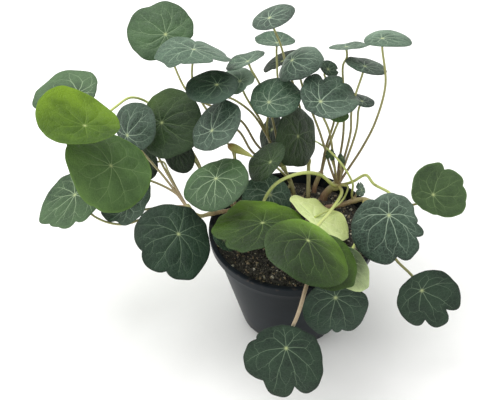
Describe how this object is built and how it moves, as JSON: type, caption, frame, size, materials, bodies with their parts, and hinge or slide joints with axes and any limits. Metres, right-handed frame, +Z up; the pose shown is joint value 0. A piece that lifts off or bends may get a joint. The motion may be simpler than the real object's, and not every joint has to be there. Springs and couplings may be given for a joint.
{
  "type": "potted nasturtium plant",
  "caption": "Trailing plant with round umbrella leaves on long thin stalks, rooted in soil in a round tapered nursery pot with a rim band.",
  "frame": {"origin": "centre of the flat underside of the pot, on the surface it stands on", "axes": "+Z up along the pot's axis, -Y towards the front, where two leaves hang over the rim, +X to the right, across the plant's widest spread"},
  "size_m": [0.352, 0.27, 0.2205],
  "materials": {
    "pot_plastic": "satin, near black, finely scuffed",
    "soil_peat": "moist, dark brown, crumbly, with white perlite grains",
    "stem_reddish": "smooth, red-brown, turning olive towards the blades",
    "stem_olive": "smooth, olive brown",
    "stem_tan": "smooth, pale tan",
    "bud_lime": "soft, yellow-green, orange-brown at the blunt end",
    "leaf_green": "waxy, mid green, pale veins",
    "leaf_glaucous": "matte bloom, grey-green, pale veins",
    "leaf_dark": "waxy, dark blue-green, pale veins",
    "leaf_sunlit": "waxy, yellow-green, pale veins",
    "leaf_pale": "thin and soft, pale yellow-green, faint veins"
  },
  "bodies": {
    "root": {"pot": "pot_plastic", "soil": "soil_peat", "stem_right_back": "stem_reddish", "stem_back": "stem_reddish", "stem_middle": "stem_olive", "stem_left_back": "stem_olive", "stem_left": "stem_reddish", "stem_right": "stem_reddish", "stem_front": "stem_tan", "flower_bud": "bud_lime", "leaf_01": "leaf_green", "leaf_02": "leaf_glaucous", "leaf_03": "leaf_dark", "leaf_04": "leaf_glaucous", "leaf_05": "leaf_dark", "leaf_06": "leaf_glaucous", "leaf_07": "leaf_glaucous", "leaf_08": "leaf_dark", "leaf_09": "leaf_glaucous", "leaf_10": "leaf_dark", "leaf_11": "leaf_dark", "leaf_12": "leaf_dark", "leaf_13": "leaf_dark", "leaf_14": "leaf_dark", "leaf_15": "leaf_glaucous", "leaf_16": "leaf_glaucous", "leaf_17": "leaf_dark", "leaf_18": "leaf_green", "leaf_19": "leaf_dark", "leaf_20": "leaf_dark", "leaf_21": "leaf_dark", "leaf_22": "leaf_dark", "leaf_23": "leaf_sunlit", "leaf_24": "leaf_sunlit", "leaf_25": "leaf_sunlit", "leaf_26": "leaf_pale", "leaf_27": "leaf_pale", "leaf_28": "leaf_dark", "leaf_29": "leaf_dark", "leaf_30": "leaf_dark", "leaf_31": "leaf_dark", "leaf_32": "leaf_dark", "leaf_33": "leaf_dark", "leaf_34": "leaf_dark", "leaf_35": "leaf_glaucous", "leaf_36": "leaf_dark", "leaf_37": "leaf_dark", "leaf_38": "leaf_green", "leaf_39": "leaf_glaucous", "leaf_40": "leaf_glaucous", "leaf_41": "leaf_sunlit", "leaf_42": "leaf_green", "leaf_43": "leaf_glaucous", "leaf_44": "leaf_glaucous", "leaf_45": "leaf_dark", "leaf_46": "leaf_dark", "leaf_47": "leaf_dark"}
  },
  "joints": []
}
